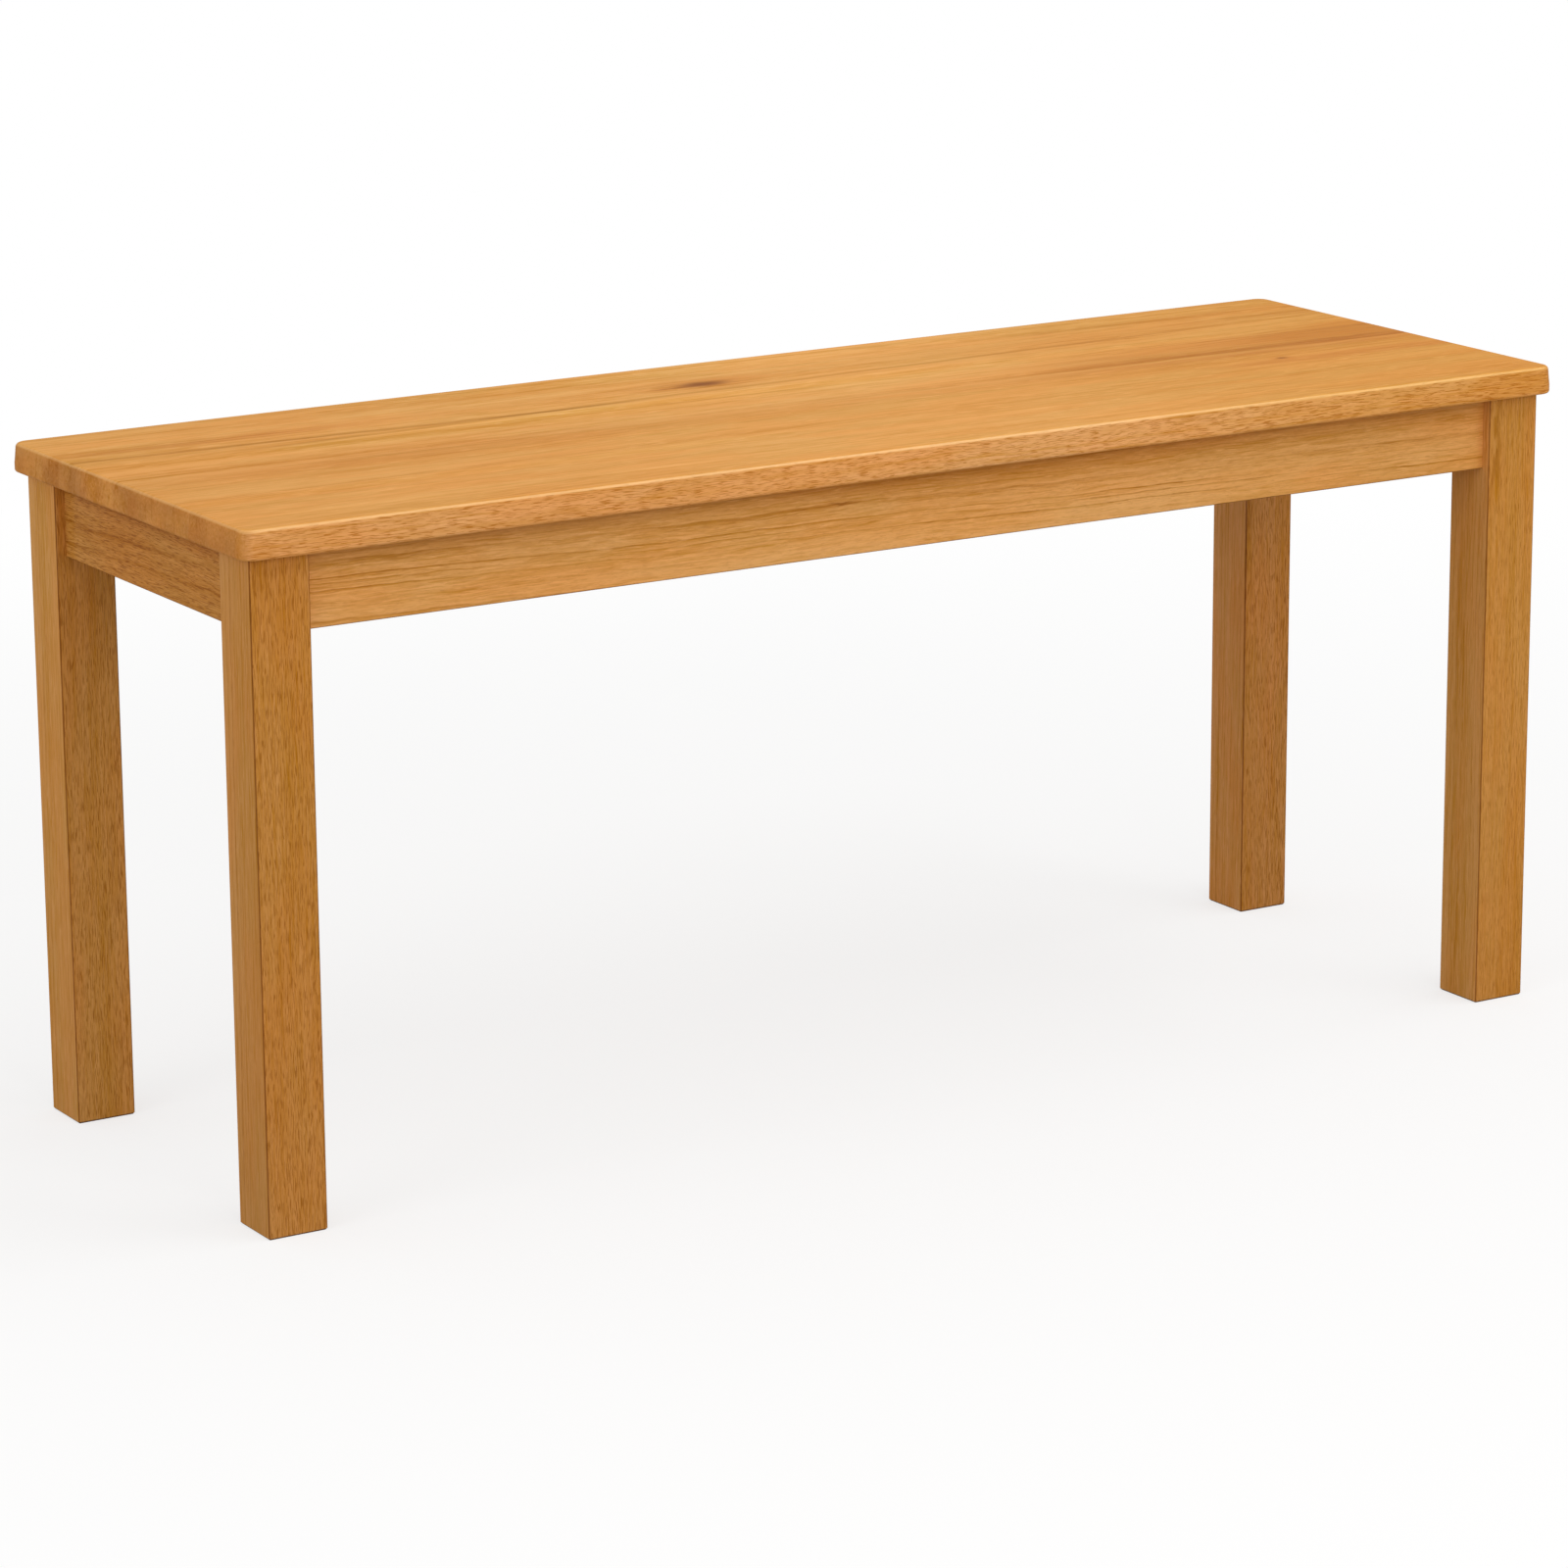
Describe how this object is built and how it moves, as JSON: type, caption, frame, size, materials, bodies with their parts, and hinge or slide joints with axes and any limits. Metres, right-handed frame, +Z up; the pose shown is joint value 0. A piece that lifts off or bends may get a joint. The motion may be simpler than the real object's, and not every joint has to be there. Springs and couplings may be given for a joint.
{
  "type": "wooden bench",
  "caption": "Backless solid oak bench: a rectangular seat of glued boards with softly rounded edges, on square legs joined by set-back aprons.",
  "frame": {"origin": "on the floor, under the middle of the seat", "axes": "+X along the bench's length, towards its right end; +Y from the front to the back; +Z up"},
  "size_m": [1, 0.34, 0.45],
  "materials": {
    "seat_oak": "satin lacquered oak, golden, smooth",
    "leg_oak": "satin lacquered oak with open grain",
    "apron_oak": "satin lacquered oak with open grain",
    "block_wood": "unfinished sawn hardwood",
    "screw_steel": "yellow zinc plated steel"
  },
  "bodies": {
    "root": {"seat_board_back": "seat_oak", "seat_board_middle_back": "seat_oak", "seat_board_middle_front": "seat_oak", "seat_board_front": "seat_oak", "leg_front_left": "leg_oak", "leg_front_right": "leg_oak", "leg_back_left": "leg_oak", "leg_back_right": "leg_oak", "apron_front": "apron_oak", "apron_back": "apron_oak", "apron_left": "apron_oak", "apron_right": "apron_oak", "corner_block_front_left": "block_wood", "corner_block_front_right": "block_wood", "corner_block_back_left": "block_wood", "corner_block_back_right": "block_wood", "seat_button_front_1": "block_wood", "seat_button_front_2": "block_wood", "seat_button_back_1": "block_wood", "seat_button_back_2": "block_wood", "seat_button_left_1": "block_wood", "seat_button_right_1": "block_wood", "seat_screws": "screw_steel", "corner_block_screws": "screw_steel"}
  },
  "joints": []
}
